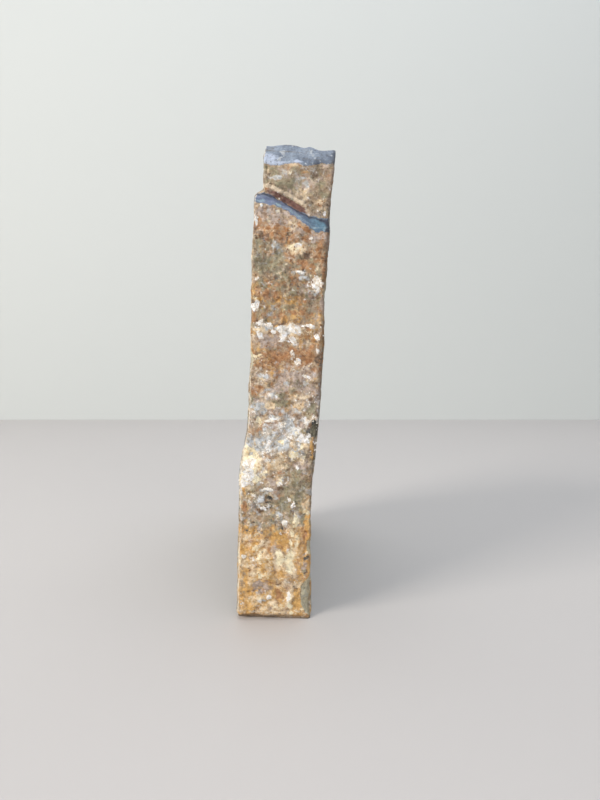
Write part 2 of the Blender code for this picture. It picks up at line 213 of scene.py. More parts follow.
# How much of each mineral lies in the skin at each height: (height, share). The last mineral lies on top.
STRATA = {
    "olive": (
        (0, .06), (36, .08), (42, .34), (52, .58), (60, .60), (66, .42), (74, .18), (82, .14), (90, .26), (104, .34),
        (116, .12), (129, .16), (141, .44), (152, .50), (164, .42), (173, .18), (184, .28), (194, .44), (202, .38),
    ),
    "gold": (
        (0, .68), (20, .64), (30, .66), (40, .62), (47, .30), (55, .18), (62, .16), (74, .14), (82, .06), (104, .14),
        (117, .30), (128, .32), (141, .34), (154, .20), (168, .22), (184, .12), (194, .14), (204, .06),
    ),
    "rust": (
        (0, .18), (18, .22), (36, .34), (47, .24), (58, .16), (70, .14), (80, .04), (91, .18), (104, .10), (115, .52),
        (122, .48), (131, .20), (140, .34), (152, .32), (163, .36), (172, .54), (180, .16), (194, .10),
    ),
    "umber": (
        (0, .08), (40, .12), (48, .22), (58, .32), (66, .22), (74, .06), (80, .02), (90, .14), (100, .18), (112, .20),
        (130, .14), (141, .24), (152, .34), (164, .30), (176, .24), (194, .14),
    ),
    "lilac": (
        (0, .12), (14, .18), (25, .12), (42, .16), (50, .42), (58, .42), (68, .24), (80, .34), (95, .50), (106, .52),
        (113, .36), (119, .18), (128, .32), (135, .10), (147, .22), (162, .14), (176, .46), (184, .42), (194, .40),
    ),
    "cream": (
        (0, .38), (10, .34), (20, .40), (32, .42), (40, .30), (50, .18), (60, .20), (68, .36), (76, .52), (84, .44),
        (92, .30), (100, .24), (112, .20), (120, .18), (128, .28), (136, .12), (150, .16), (166, .14), (180, .24),
        (195, .22), (206, .10),
    ),
    "ash": (
        (0, .04), (42, .10), (50, .34), (60, .26), (68, .18), (78, .60), (86, .58), (94, .38), (104, .30), (112, .18),
        (120, .04), (128, .14), (136, .02), (150, .12), (158, .10), (176, .14), (184, .12), (194, .18),
    ),
    "straw": (
        (0, .16), (10, .18), (20, .22), (32, .24), (42, .16), (50, .10), (60, .12), (68, .24), (76, .28), (86, .16),
        (100, .10), (120, .04), (128, .10), (140, .02), (160, .06), (180, .04), (194, .04),
    ),
    "talc": (
        (0, .06), (10, .10), (20, .08), (30, .12), (40, .08), (48, .10), (56, .12), (63, .14), (70, .26), (78, .54),
        (84, .46), (89, .28), (96, .22), (106, .14), (113, .10), (121, .06), (128, .18), (135, .04), (144, .04),
        (153, .08), (165, .06), (173, .06), (182, .10), (195, .06), (206, .06),
    ),
    "dark": (
        (0, .02), (40, .04), (48, .12), (55, .16), (66, .04), (140, .03), (154, .08), (166, .04), (206, .04),
    ),
}

# How each mineral lies: the wavelength and seed of its lumps, how full its blots are, and how soft their border is.
LAY = {
    "olive": (11.0, 121.0, 0.68, 1.2),
    "gold": (12.0, 141.0, 0.74, 1.2),
    "rust": (8.0, 131.0, 0.68, 1.2),
    "umber": (6.0, 151.0, 0.66, 1.2),
    "lilac": (9.0, 111.0, 0.82, 1.2),
    "cream": (5.0, 191.0, 0.72, 1.2),
    "ash": (4.5, 195.0, 0.76, 1.2),
    "straw": (4.0, 199.0, 0.95, 1.0),
    "talc": (6.5, 101.0, 0.96, 0.95),
    "dark": (5.0, 161.0, 0.80, 1.2),
}
BLOT_CLEARS = 0.8  # how much a blot thins the minerals that would lie over it
WIDE_BLOT = 2.5  # a blot with a half width above this has gaps
BAND_TILT = ((0, .05), (44, .05), (54, .30), (63, .70), (76, .70), (90, .30), (110, .12), (150, .10), (178, -.35),
             (210, .0))
SEAM_END = 9.5  # the crack above the ledge fades out to the right of this x
NOTCH_Z = (82.5, 90.5)  # the hollow in the right corner, painted dark as its shade
FROST_AT = (-6.5, 204.6)  # the palest part of the crest's break
FROST_SPREAD = (3.2, 2.6)


def smooth_step(value, low=0.0, high=1.0):
    """0 below low, 1 above high, and an S-shaped rise between them."""
    share = np.clip((value - low) / (high - low), 0.0, 1.0)
    return share * share * (3.0 - 2.0 * share)


def curve(points, at):
    """A smooth curve through (position, value) points, read at the positions in at."""
    xs, ys = np.array(points, float).T
    slopes = np.gradient(ys, xs)
    at = np.clip(at, xs[0], xs[-1])
    i = np.clip(np.searchsorted(xs, at) - 1, 0, len(xs) - 2)
    width = xs[i + 1] - xs[i]
    t = (at - xs[i]) / width
    rise = ys[i + 1] - ys[i]
    bow = t * (1 - t) * ((1 - t) * (slopes[i] * width - rise) - t * (slopes[i + 1] * width - rise))
    return ys[i] + rise * t + bow


def smooth_noise(points, wavelength, seed):
    """Gradient noise, about -1 to 1, at an array of points."""
    shift = Vector((seed, seed * 1.7, seed * 2.3))
    return np.array([noise.noise(Vector(p) / wavelength + shift) for p in points])


def on_face(y, z):
    """The points of a face as an array, for the noise."""
    return np.stack([np.zeros_like(y), y, z], axis=1)


def layers(fields, y, z):
    """How far the surface is set back where thin layers have split away."""
    depth = np.zeros_like(y)
    for seed, wavelength, threshold, step in fields:
        depth += step * smooth_step(smooth_noise(on_face(y, z), wavelength, seed), threshold, threshold + LAYER_EDGE)
    return depth


def left_x(y, z):
    """The left split face, with the scar of its lost corner."""
    back = y - FRONT_Y
    inside = smooth_step(back, 0.0, 20.0)
    sway = FACE_SWAY[0] * inside * smooth_noise(on_face(y, z), FACE_SWAY[1], 41.0)
    scar_line = SCAR_Z + SCAR_RISE * back + inside * 1.5 * smooth_noise(on_face(y, z), 9.0, 44.0)
    scar = SCAR_DEPTH * smooth_step(z, scar_line, scar_line + 1.0)
    return curve(LEFT_FACE, z + BEND_DROP * back) + sway + inside * layers(LEFT_LAYERS, y, z) + scar


def right_x(y, z):
    """The right split face."""
    back = y - FRONT_Y
    inside = smooth_step(back, 0.0, 20.0)
    sway = FACE_SWAY[0] * inside * smooth_noise(on_face(y, z), FACE_SWAY[1], 51.0)
    return curve(RIGHT_FACE, z + BEND_DROP * back) + sway - inside * layers(RIGHT_LAYERS, y, z)


def across(w, y, z):
    """x at a share w of the way from the left face to the right one."""
    left, right = left_x(y, z), right_x(y, z)
    return left + (right - left) * w


def corner_breaks(x, z, left, right):
    """How far the front edge is set back where its corners are broken."""
    depth = np.zeros_like(x)
    for side, middle, half_length, most in CORNER_BREAKS:
        from_corner = (right - x) if side > 0 else (x - left)
        along = 1.0 - np.abs(z - middle) / half_length
        depth += np.clip(most * np.minimum(1.0, 1.6 * along) - 0.8 * from_corner, 0.0, None) * (along > 0)
    return depth


def front_point(w, v):
    """(y, z) on the front edge: the ledge, the bevel above it, the undercut foot and the broken corners."""
    z = v * HEIGHT
    y = curve(FRONT_EDGE, z)
    left, right = left_x(y, z), right_x(y, z)
    x = left + (right - left) * w
    foot, head = curve(LEDGE_FOOT, x), curve(LEDGE_HEAD, x)
    up = (z - foot) / (head - foot)
    crevice = np.interp(up, (0.4, 1.0, 1.25, 2.2), (0, LEDGE_CREVICE, LEDGE_CREVICE, 0))
    y = y + LEDGE_DEPTH * np.clip(up, 0.0, 1.0) + crevice
    y = y + SHOULDER_DEPTH * smooth_step(z - curve(SHOULDER, x), -1.0, 5.0)
    y = y + CREST_BEVEL_DEPTH * np.clip((z - CREST_BEVEL_Z) / (HEIGHT - CREST_BEVEL_Z), 0.0, 1.0) ** 1.3
    undercut = UNDERCUT_LEFT + (UNDERCUT_RIGHT - UNDERCUT_LEFT) * w
    y = y + undercut * smooth_step(-z, -UNDERCUT_Z, -UNDERCUT_Z + 1.2)
    near = 1.0 - np.clip(np.minimum(x - left, right - x) / ARRIS_ROUNDING, 0.0, 1.0)
    y = y + ARRIS_ROUNDING * (1.0 - np.sqrt(1.0 - near ** 2))
    return y + corner_breaks(x, z, left, right), z


def back_point(w, v):
    """(y, z) on the back edge, which is rounded across the slab like the skin of a boulder."""
    z = v * CREST_Z
    return curve(BACK_EDGE, z) - BACK_ROUNDING * np.abs(w - 0.45) ** 2.2, z


def top_point(w, u):
    """(y, z) on the top edge, slightly rounded across."""
    y = TOP_EDGE[0][0] + u * (TOP_EDGE[-1][0] - TOP_EDGE[0][0])
    return y, curve(TOP_EDGE, y) - TOP_ROUNDING * u * np.abs(w - 0.5) ** 2.0


def inside_outline(w, u, v):
    """(y, z) inside the outline, from its four edges at the same share w of the thickness."""
    zero, one = np.zeros_like(u), np.ones_like(u)
    front, back = np.array(front_point(w, v)), np.array(back_point(w, v))
    front_foot, front_top = np.array(front_point(w, zero)), np.array(front_point(w, one))
    back_foot, back_top = np.array(back_point(w, zero)), np.array(back_point(w, one))
    top_line = np.array(top_point(w, u))
    top_start, top_end = np.array(top_point(w, zero)), np.array(top_point(w, one))
    top = top_line + (1 - u) * (front_top - top_start) + u * (back_top - top_end)
    bottom = front_foot + (back_foot - front_foot) * u
    corners = (1 - v) * bottom + v * (front_top + (back_top - front_top) * u)
    return (1 - v) * bottom + v * top + (1 - u) * front + u * back - corners


def ease_ends(share, strength):
    """Moves the grid lines towards both ends, where the corners are."""
    return share - strength * np.sin(2 * math.pi * share) / (2 * math.pi)


def shaped(shares):
    """The points of the stone before its relief, from shares of the box."""
    w = ease_ends(shares[:, 0], 0.45)
    u = ease_ends(shares[:, 1], 0.6)
    v = ease_ends(shares[:, 2], 0.2)
    y, z = inside_outline(w, u, v)
    x = across(w, y, z)
    return np.stack([x, y, z - curve(CREST_DROP, x) * smooth_step(z, 188.0, 204.0)], axis=1)


def pits(points, spacing, radius, kept_above):
    """Round hollows scattered over the weathered skin, 0 to 1 deep."""
    depth = np.zeros(len(points))
    for n, p in enumerate(points):
        distances, centres = noise.voronoi(Vector(p) / spacing)
        kept = noise.noise(centres[0] * 5.3) > kept_above
        depth[n] = kept * max(0.0, 1.0 - distances[0] * spacing / radius)
    return smooth_step(depth)


def box_shell(cells):
    """Shares of a box at the points of a grid over its outside, and the quads between them, facing out."""
    quads = []
    for axis in range(3):
        a, b = (axis + 1) % 3, (axis + 2) % 3
        i, j = np.meshgrid(np.arange(cells[a]), np.arange(cells[b]), indexing="ij")
        for end in (0, cells[axis]):
            ring = ((0, 0), (1, 0), (1, 1), (0, 1))
            quad = np.zeros((i.size, 4, 3), int)
            for n, (da, db) in enumerate(ring if end else ring[::-1]):
                quad[:, n, axis] = end
                quad[:, n, a] = i.ravel() + da
                quad[:, n, b] = j.ravel() + db
            quads.append(quad)
    corners, index = np.unique(np.concatenate(quads).reshape(-1, 3), axis=0, return_inverse=True)
    return corners / np.array(cells), index.reshape(-1, 4)


def share_mesh():
    """The box's grid as a mesh, twice as fine on the front as elsewhere."""
    corners, quads = box_shell(CELLS)
    mesh = bpy.data.meshes.new("soapstone_slab")
    mesh.from_pydata(corners.tolist(), [], quads.tolist())
    bm = bmesh.new()
    bm.from_mesh(mesh)
    front = [e for e in bm.edges if max(v.co.y for v in e.verts) < RIM]
    bmesh.ops.subdivide_edges(bm, edges=front, cuts=1, use_grid_fill=True)
    bmesh.ops.triangulate(bm, faces=[f for f in bm.faces if len(f.verts) > 4])
    bm.to_mesh(mesh)
    bm.free()
    return mesh


def corner_array(mesh):
    """The mesh's points as an array."""
    flat = np.empty(len(mesh.vertices) * 3)
    mesh.vertices.foreach_get("co", flat)
    return flat.reshape(-1, 3)


def put_points(mesh, points):
    """Moves the mesh's points."""
    mesh.vertices.foreach_set("co", points.ravel())
    mesh.update()


def normals_of(mesh):
    """The mesh's point normals as an array."""
    flat = np.empty(len(mesh.vertices) * 3)
    mesh.vertex_normals.foreach_get("vector", flat)
    return flat.reshape(-1, 3)


def neighbour_mean(mesh, values):
    """For each point, the mean of the values at the points it shares an edge with."""
    ends = np.empty(len(mesh.edges) * 2, int)
    mesh.edges.foreach_get("vertices", ends)
    a, b = ends.reshape(-1, 2).T
    total = np.zeros_like(values)
    np.add.at(total, a, values[b])
    np.add.at(total, b, values[a])
    count = np.bincount(ends, minlength=len(values)).astype(float)
    return total / (count[:, None] if values.ndim > 1 else count)


def blots(xs, zs, places, ragged, gaps, edge):
    """0 to 1: inside ragged blots on the front edge. The wide ones have gaps."""
    cover = np.zeros(len(xs))
    for x, z, half_width, half_height, *turn in places:
        angle = math.radians(sum(turn))
        c, s = math.cos(angle), math.sin(angle)
        dx, dz = xs - x, zs - z
        far = np.hypot((dx * c + dz * s) / half_width, (dz * c - dx * s) / half_height)
        size = min(half_width, half_height)
        inside = smooth_step(1.65 - far + ragged * min(0.7, 1.0 / size), 0.0, edge)
        cover = np.maximum(cover, inside * (gaps if half_width > WIDE_BLOT else 1.0))
    return cover


def band(value, low, high, soft):
    """1 between low and high, and 0 beyond a soft border."""
    return smooth_step(value, low - soft, low + soft) * (1 - smooth_step(value, high - soft, high + soft))


def crack_lines(x, z, front, ragged):
    """The maroon crack above the ledge, partly its own colour and partly painted shade of its crevice, and the pale
    streak over it, 0 to 1.
    """
    above_ledge = z - curve(LEDGE_HEAD, x) + 0.3 * ragged
    seam = front * smooth_step(SEAM_END - x, -2.0, 2.0)
    crack = seam * smooth_step(x, -9.0, -3.0) * band(above_ledge, -0.1, 2.2, 0.4)
    return crack * (0.92 + 0.3 * ragged), seam * band(above_ledge, 2.9, 4.4, 0.5) * (0.85 + 0.3 * ragged)


def minerals(ground):
    """How much of each mineral there is at each point, 0 to 1."""
    x, z, placed, front = ground.x, ground.z, ground.placed, ground.front
    ragged = smooth_noise(placed, 2.6, 171.0) + 0.7 * smooth_noise(placed, 1.25, 173.0)
    wavy_z = z - curve(BAND_TILT, z) * np.clip(x, -25.0, 25.0)
    wavy_z += 3.0 * smooth_noise(placed, 15.0, 175.0) + 2.0 * smooth_noise(placed, 5.5, 177.0)
    astray = [1.1 * smooth_noise(placed, 4.6, seed) + 0.5 * smooth_noise(placed, 1.7, seed + 2)
              for seed in (241.0, 247.0)]
    gaps = smooth_step(smooth_noise(placed, 2.3, 253.0) + 0.5 * smooth_noise(placed, 0.9, 255.0), -0.65, -0.25)
    found, below = {}, np.zeros(len(x))
    for name, heights in STRATA.items():
        wavelength, seed, fullness, edge = LAY[name]
        lumps = 0.30 * smooth_noise(placed, wavelength, seed)
        lumps = lumps + 0.22 * smooth_noise(placed, wavelength / 2.4, seed + 3)
        everywhere = (curve(heights, wavy_z) + lumps * (1 - 0.3 * front)) * (1 - BLOT_CLEARS * below)
        inside = front * blots(x + astray[0], z + astray[1], BLOTS[name], ragged, gaps, edge)
        below = np.maximum(below, inside)
        amount = np.clip(np.maximum(everywhere, inside * fullness), 0.0, 1.0)
        found[name] = amount * ground.mineral_cover * smooth_step(z, 0.4, 1.4)
    found["crack"], found["streak"] = crack_lines(x, z, front, ragged)
    return found


def crest_border(placed):
    """How far the lower border of the crest's break wanders."""
    return 1.6 * smooth_noise(placed, 6.0, 183.0)


def broken_faces(x, z, placed, on_front):
    """0 to 1, three times: the fresh break of the ledge, that of the crest, and the worn breaks of the corners."""
    foot, head = curve(LEDGE_FOOT, x), curve(LEDGE_HEAD, x)
    wobble = 0.8 * smooth_noise(placed, 2.6, 181.0) + 0.5 * smooth_noise(placed, 1.1, 185.0)
    on_ledge = smooth_step(z - foot + wobble, -1.0, 0.6) * (1 - smooth_step(z - head + wobble, -0.5, 0.6))
    on_crest = smooth_step(z + crest_border(placed), CREST_BEVEL_Z - 1.2, CREST_BEVEL_Z + 0.8)
    broken = smooth_step(corner_breaks(x, z, curve(LEFT_FACE, z), curve(RIGHT_FACE, z)), 0.1, 0.5)
    return on_front * on_ledge, on_front * on_crest * (1 - on_ledge), on_front * broken


class Ground:
    """What each point of the stone is part of, before its relief: skin or split face, corner, break or front."""

    def __init__(self, shares, points):
        self.points = points
        self.placed = points - np.array(BOX_MIDDLE)
        self.x, self.z = points[:, 0], points[:, 2]
        self.w, u, self.v = shares.T
        thick, deep, tall = ROUGH_SPAN
        self.from_corner = np.minimum(self.w, 1 - self.w) * thick
        self.at_corner = smooth_step(-self.from_corner, -3.5, -0.5)
        to_edge = np.minimum(np.minimum(u, 1 - u) * deep, (1 - self.v) * tall)
        self.on_skin = (u < RIM) | (u > 1 - RIM) | (self.v > 1 - RIM)
        self.skin = np.where(self.on_skin, 1.0, 0.35 * np.exp(-to_edge / 4.0))
        self.near_corner = np.exp(-np.where(self.on_skin, self.from_corner, to_edge) / CHIP_REACH)
        self.front = smooth_step(-points[:, 1], 58.0, 66.0)
        self.ledge, self.crest, self.worn = broken_faces(self.x, self.z, self.placed, u < RIM)
        rind = np.exp(-to_edge / (3.0 + 2.5 * self.noise(13.0, 191.0)).clip(0.8))
        self.rind = np.where(self.on_skin, 0.0, rind)
        unbroken = (1 - self.crest) * (1 - self.ledge) * (1 - 0.3 * self.worn)
        self.mineral_cover = np.where(self.on_skin, 1.0, rind) * unbroken
        self.rough_skin = self.skin * (1 - 0.5 * np.maximum(self.crest, self.ledge)) * (1 - 0.7 * self.at_corner)

    def noise(self, wavelength, seed):
        return smooth_noise(self.points, wavelength, seed)


def broad_relief(ground):
    """How far the swells stand out of the stone, less its chips and pits."""
    height = np.zeros(len(ground.points))
    for n, (wavelength, amount) in enumerate(SKIN_RELIEF):
        height += ground.skin * amount * (1 - 0.7 * ground.at_corner) * ground.noise(wavelength, 60.0 + 3 * n)
    for n, (wavelength, amount) in enumerate(CLEFT_RELIEF):
        height += (1 - ground.skin) * amount * ground.noise(wavelength, 80.0 + 3 * n)
    chips = smooth_step(ground.noise(CHIP_WAVELENGTH, 91.0), 0.0, 0.5)
    height += ground.near_corner * (-CORNER_WEAR - CHIP_DEPTH * chips * (1 - 0.5 * ground.front))
    height -= ground.skin * PIT_DEPTH * pits(ground.points, PIT_SPACING, PIT_RADIUS, 0.05)
    return height * (1 - 0.92 * smooth_step(ground.z, 198.0, 206.0) * ground.front)


def fine_relief(ground, found, small_pits, sheets):
    """How far the small relief stands out: grain, small pits, flakes, single minerals and split sheets."""
    detail = np.zeros(len(ground.points))
    for n, (wavelength, amount) in enumerate(FINE_SKIN):
        detail += ground.rough_skin * amount * ground.noise(wavelength, 201.0 + 3 * n)
    for n, (wavelength, amount) in enumerate(FINE_CLEFT):
        detail += (1 - ground.skin) * amount * ground.noise(wavelength, 211.0 + 3 * n)
    detail -= ground.rough_skin * SMALL_PIT_DEPTH * small_pits
    flakes = ground.noise(FLAKE_WAVELENGTH, 221.0) + 0.4 * ground.noise(FLAKE_WAVELENGTH / 3, 223.0)
    for level in FLAKE_LEVELS:
        detail += ground.rough_skin * FLAKE_STEP * (smooth_step(flakes, level, level + 0.05) - 0.5)
    detail += ground.skin * TALC_PROUD * smooth_step(found["talc"], 0.4, 0.7)
    detail -= ground.skin * DARK_SUNK * smooth_step(found["dark"], 0.4, 0.8)
    detail *= 1 - 0.8 * smooth_step(ground.z, 204.5, 208.0) * ground.front
    return detail + (1 - ground.skin) * SHEET_STEP * len(SHEET_LEVELS) * (sheets - 0.5)


def sheet_heights(points):
    """The sheets that the split faces show, 0 for the lowest to 1 for the highest."""
    lie = smooth_noise(points * (1.0, 0.55, 1.0), SHEET_WAVELENGTH, 261.0)
    lie += 0.22 * smooth_noise(points, 6.0, 263.0) + 0.08 * smooth_noise(points, 2.2, 265.0)
    return sum(smooth_step(lie, level, level + 0.02) for level in SHEET_LEVELS) / len(SHEET_LEVELS)


def break_fields(ground):
    """The pale and teal parts of the two fresh breaks, with the ledge's painted highlight and painted shade, 0 to 1.
    """
    x, z = ground.x, ground.z
    frost = np.exp(-((x - FROST_AT[0]) / FROST_SPREAD[0]) ** 2 - ((z - FROST_AT[1]) / FROST_SPREAD[1]) ** 2)
    above_border = z + crest_border(ground.placed) - CREST_BEVEL_Z
    strip = (1 - smooth_step(above_border, 0.8, 2.4)) * (1 - smooth_step(x, 5.0, 10.0))
    foot, head = curve(LEDGE_FOOT, x), curve(LEDGE_HEAD, x)
    up = (z - foot) / (head - foot)
    shaded_end = 0.8 * smooth_step(x + 0.8 * ground.noise(2.5, 189.0), 16.5, 20.0)
    return {
        "frost": ground.crest * np.clip(frost + 0.8 * strip, 0.0, 1.0),
        "teal": ground.ledge * smooth_step(x, 4.0, 18.0),
        # painted highlight along the lower border of the ledge, which faces up to the light
        "gleam": ground.ledge * band(up, 0.0, 0.45, 0.25) * (0.45 + 0.6 * ground.noise(4.0, 187.0)),
        # painted shade under the head of the ledge and at its right end
        "gloom": ground.ledge * (band(up, 0.75, 1.2, 0.2) + shaded_end).clip(0.0, 1.0),
    }


def wear_light_and_shade_fields(ground):
    """The left corner, rubbed pale and lit by a painted highlight, the right one in painted shade, the painted shade
    in its notch, and where the front's crystals are less lively, 0 to 1.
    """
    z, skin_front = ground.z, ground.on_skin * ground.front
    wander = ground.noise(5.0, 231.0)
    pale = smooth_step(-ground.from_corner + 0.9 * wander, -1.6, -0.5) * (0.75 - 0.45 * smooth_step(z, 60.0, 190.0))
    dim = smooth_step(-ground.from_corner + 1.2 * wander, -4.4, -1.6) * (0.5 + 0.5 * smooth_step(z, 30.0, 80.0))
    return {
        # the pale rubbed left corner, with a painted highlight where the light falls on it
        "arris": pale * ground.on_skin * (ground.w < 0.5),
        "shade": skin_front * (ground.w > 0.5) * dim,
        # painted shade in the hollow of the right corner's break
        "notch": 0.85 * ground.worn * (ground.w > 0.5) * band(z, *NOTCH_Z, 1.5),
        "calm": ground.front * np.maximum(smooth_step(z, 184.0, 190.0), smooth_step(-z, -44.0, -36.0)),
    }


def stone_mesh():
    """The slab's mesh with its relief, and its minerals, breaks, wear, painted shade and painted highlights as
    attributes.
    """
    mesh = share_mesh()
    shares = corner_array(mesh)
    points = shaped(shares)
    softness = (0.5 - 0.4 * smooth_step(points[:, 2], 196.0, 204.0))[:, None]
    for _ in range(ROUNDING_PASSES):
        points += softness * (neighbour_mean(mesh, points) - points)
    put_points(mesh, points)
    normals = normals_of(mesh)

    ground = Ground(shares, points)
    found = minerals(ground)
    small_pits = pits(points, SMALL_PIT_SPACING, SMALL_PIT_RADIUS, -0.05)
    sheets = sheet_heights(points)
    detail = fine_relief(ground, found, small_pits, sheets)
    lift = (broad_relief(ground) + detail) * smooth_step(ground.z, 0.5, 3.0)
    moved = points + normals * lift[:, None]
    moved[ground.v < RIM, 2] = 0.0
    moved[:, 2] = np.maximum(moved[:, 2], 0.0)
    put_points(mesh, (moved - np.array(BOX_MIDDLE)) * MM)

    # painted shade: darker in the hollows of the fine relief, in the small pits and under the undercut foot
    hollow = neighbour_mean(mesh, neighbour_mean(mesh, detail)) - detail
    cavity = np.clip(hollow * 3.0 + 0.8 * ground.rough_skin * small_pits, 0.0, 1.0)
    shade_under_foot = 0.9 * ground.front * ground.on_skin * smooth_step(-ground.z, -2.4, -1.6)
    found["cavity"] = np.maximum(cavity, shade_under_foot)
    found["crest"], found["ledge"], found["worn"] = ground.crest, ground.ledge, ground.worn
    found["cleft"], found["sheets"], found["rind"] = np.where(ground.on_skin, 0.0, 1.0), sheets, ground.rind
    found.update(break_fields(ground))
    found.update(wear_light_and_shade_fields(ground))
    for name, values in found.items():
        attribute = mesh.attributes.new(name, "FLOAT", "POINT")
        attribute.data.foreach_set("value", values.astype(np.float32))
    mesh.shade_smooth()
    return mesh


# --- Materials ---


def tone(red, green, blue):
    """A colour given as 0 to 255 on screen, as the linear colour that a shader takes."""
    parts = [c / 255 for c in (red, green, blue)]
    return tuple(c / 12.92 if c <= 0.04045 else ((c + 0.055) / 1.055) ** 2.4 for c in parts) + (1.0,)


def new_node(tree, kind, inputs, **settings):
    """Adds a node to a tree. An input is given as a value, or as another node's output."""
    made = tree.nodes.new(kind)
    for name, value in settings.items():
        setattr(made, name, value)
    for name, value in inputs.items():
        if isinstance(value, bpy.types.NodeSocket):
            tree.links.new(value, made.inputs[name])
        else:
            made.inputs[name].default_value = value
    return made


def new_material(name, rough=0.5):
    """A material and its shader."""
    material = bpy.data.materials.new(name)
    material.use_nodes = True
    shader = material.node_tree.nodes["Principled BSDF"]
    shader.inputs["Roughness"].default_value = rough
    return material, shader


class Wiring:
    """Adds nodes to a material. An input is given as a value, or as another node's output."""

    def __init__(self, tree):
        self.tree = tree
        self.where = self.add("ShaderNodeTexCoord").outputs["Object"]

    def add(self, kind, inputs=None, **settings):
        return new_node(self.tree, kind, inputs or {}, **settings)

    def math(self, operation, a, b=0.0, c=0.0):
        return self.add("ShaderNodeMath", {0: a, 1: b, 2: c}, operation=operation).outputs[0]

    def times(self, a, b):
        return self.math("MULTIPLY", a, b)

    def grain(self, size, seed, detail=3.0, rough=0.6, where=None):
        """Noise with lumps of about that size in metres, 0 to 1."""
        inputs = {"Vector": where or self.where, "W": seed, "Scale": 0.5 / size, "Detail": detail, "Roughness": rough}
        found = self.add("ShaderNodeTexNoise", inputs, noise_dimensions="4D").outputs["Fac"]
        return self.add("ShaderNodeMapRange", {"Value": found, "From Min": 0.3, "From Max": 0.7}).outputs[0]

    def crystals(self, size, where=None):
        """A random number for each crystal of about that size in metres."""
        found = self.add("ShaderNodeTexVoronoi", {"Vector": where or self.where, "Scale": 1.0 / size})
        return self.add("ShaderNodeSeparateColor", {0: found.outputs["Color"]}).outputs[0]

    def field(self, name):
        return self.add("ShaderNodeAttribute", attribute_name=name).outputs["Fac"]

    def stretch(self, value, low, high, to_low=0.0, to_high=1.0):
        inputs = {"Value": value, "From Min": low, "From Max": high, "To Min": to_low, "To Max": to_high}
        return self.add("ShaderNodeMapRange", inputs, interpolation_type="SMOOTHSTEP").outputs[0]

    def blend(self, share, a, b, mode="MIX"):
        made = self.add("ShaderNodeMix", data_type="RGBA", blend_type=mode)
        for place, value in ((0, share), (6, a), (7, b)):
            if isinstance(value, bpy.types.NodeSocket):
                self.tree.links.new(value, made.inputs[place])
            else:
                made.inputs[place].default_value = value
        return made.outputs[2]

    def touched(self, under, value, low, high, most, colour):
        """A colour laid over another as a value goes from low to high, up to the share most."""
        return self.blend(self.stretch(value, low, high, 0.0, most), under, tone(*colour))

    def drawn_out(self, x, y, z):
        """Where a point is, with the pattern drawn out along the axes that are below 1."""
        return self.add("ShaderNodeVectorMath", {0: self.where, 1: (x, y, z)}, operation="MULTIPLY").outputs[0]

    def cover(self, amount, grain, edge=0.07):
        """Crisp patches that cover more of the surface as amount goes from 0 to 1."""
        return self.stretch(self.math("ADD", amount, grain), 1.0 - edge, 1.0 + edge)

    def laid_over(self, name, grain, under, colour):
        """A colour over what is under it, in ragged patches and only where that field is."""
        amount = self.field(name)
        share = self.times(self.cover(amount, grain, 0.3), self.stretch(amount, 0.02, 0.2))
        return self.blend(share, under, colour if isinstance(colour, bpy.types.NodeSocket) else tone(*colour))


# Each mineral of the skin, from the lowest to the one on top: its two tones, and its grains' size and soft edge.
SKIN_TONES = (
    ("olive", (166, 156, 128), (136, 128, 102), 0.0015, 0.24),
    ("gold", (228, 182, 112), (194, 148, 84), 0.0017, 0.27),
    ("rust", (192, 146, 102), (162, 116, 78), 0.0014, 0.27),
    ("umber", (130, 104, 82), (102, 84, 66), 0.0012, 0.22),
    ("lilac", (198, 178, 162), (168, 149, 134), 0.0014, 0.24),
    ("cream", (238, 218, 186), (220, 194, 156), 0.0016, 0.27),
    ("ash", (214, 214, 211), (178, 180, 178), 0.0014, 0.26),
    ("straw", (253, 242, 209), (243, 225, 184), 0.0013, 0.18),
    ("talc", (252, 250, 246), (234, 226, 212), 0.0010, 0.16),
    ("dark", (102, 100, 94), (74, 74, 72), 0.0010, 0.14),
)


def speckled(wiring, colour, bent):
    """Single crystals lighter, darker, warmer and cooler than the grains round them."""
    small, large = wiring.crystals(0.0008, bent), wiring.crystals(0.0015, bent)
    lively = wiring.math("MULTIPLY_ADD", wiring.field("calm"), -0.6, 1.0)
    for crystal, low, high, factor in (
        (large, 0.78, 0.84, (1.14, 1.12, 1.09, 1.0)),
        (large, 0.20, 0.14, (0.93, 0.82, 0.70, 1.0)),
        (small, 0.82, 0.90, (1.16, 1.15, 1.13, 1.0)),
        (small, 0.18, 0.10, (0.76, 0.73, 0.70, 1.0)),
        (small, 0.50, 0.54, (0.95, 0.98, 1.05, 1.0)),
    ):
        share = wiring.times(wiring.stretch(crystal, low, high), lively)
        colour = wiring.blend(share, colour, factor, "MULTIPLY")
    return colour


def fresh_colour(wiring, coarse, medium, fine):
    """The pale blue-grey of the crest's break and, darker, that of the ledge, which turns to teal at one end."""
    streaks = wiring.grain(0.0020, 6.0, 4.0, 0.65, wiring.drawn_out(0.3, 1.0, 1.8))
    crest = wiring.blend(wiring.stretch(coarse, 0.1, 0.9), tone(146, 157, 172), tone(98, 107, 122))
    crest = wiring.touched(crest, medium, 0.65, 0.90, 1.0, (182, 187, 192))
    crest = wiring.laid_over("frost", coarse, crest, (186, 196, 214))
    crest = wiring.touched(crest, streaks, 0.60, 0.9, 0.8, (122, 118, 114))
    ledge = wiring.blend(wiring.stretch(streaks, 0.1, 0.9), tone(138, 148, 172), tone(96, 106, 132))
    teal = wiring.blend(coarse, tone(104, 140, 158), tone(70, 100, 120))
    ledge = wiring.blend(wiring.field("teal"), ledge, teal)
    # the painted highlight and the painted shade of the ledge
    ledge = wiring.laid_over("gleam", medium, ledge, (150, 172, 182))
    ledge = wiring.laid_over("gloom", coarse, ledge, (66, 70, 84))
    both = wiring.blend(wiring.field("ledge"), crest, ledge)
    return wiring.touched(both, fine, 0.65, 0.9, 0.6, (92, 92, 92))


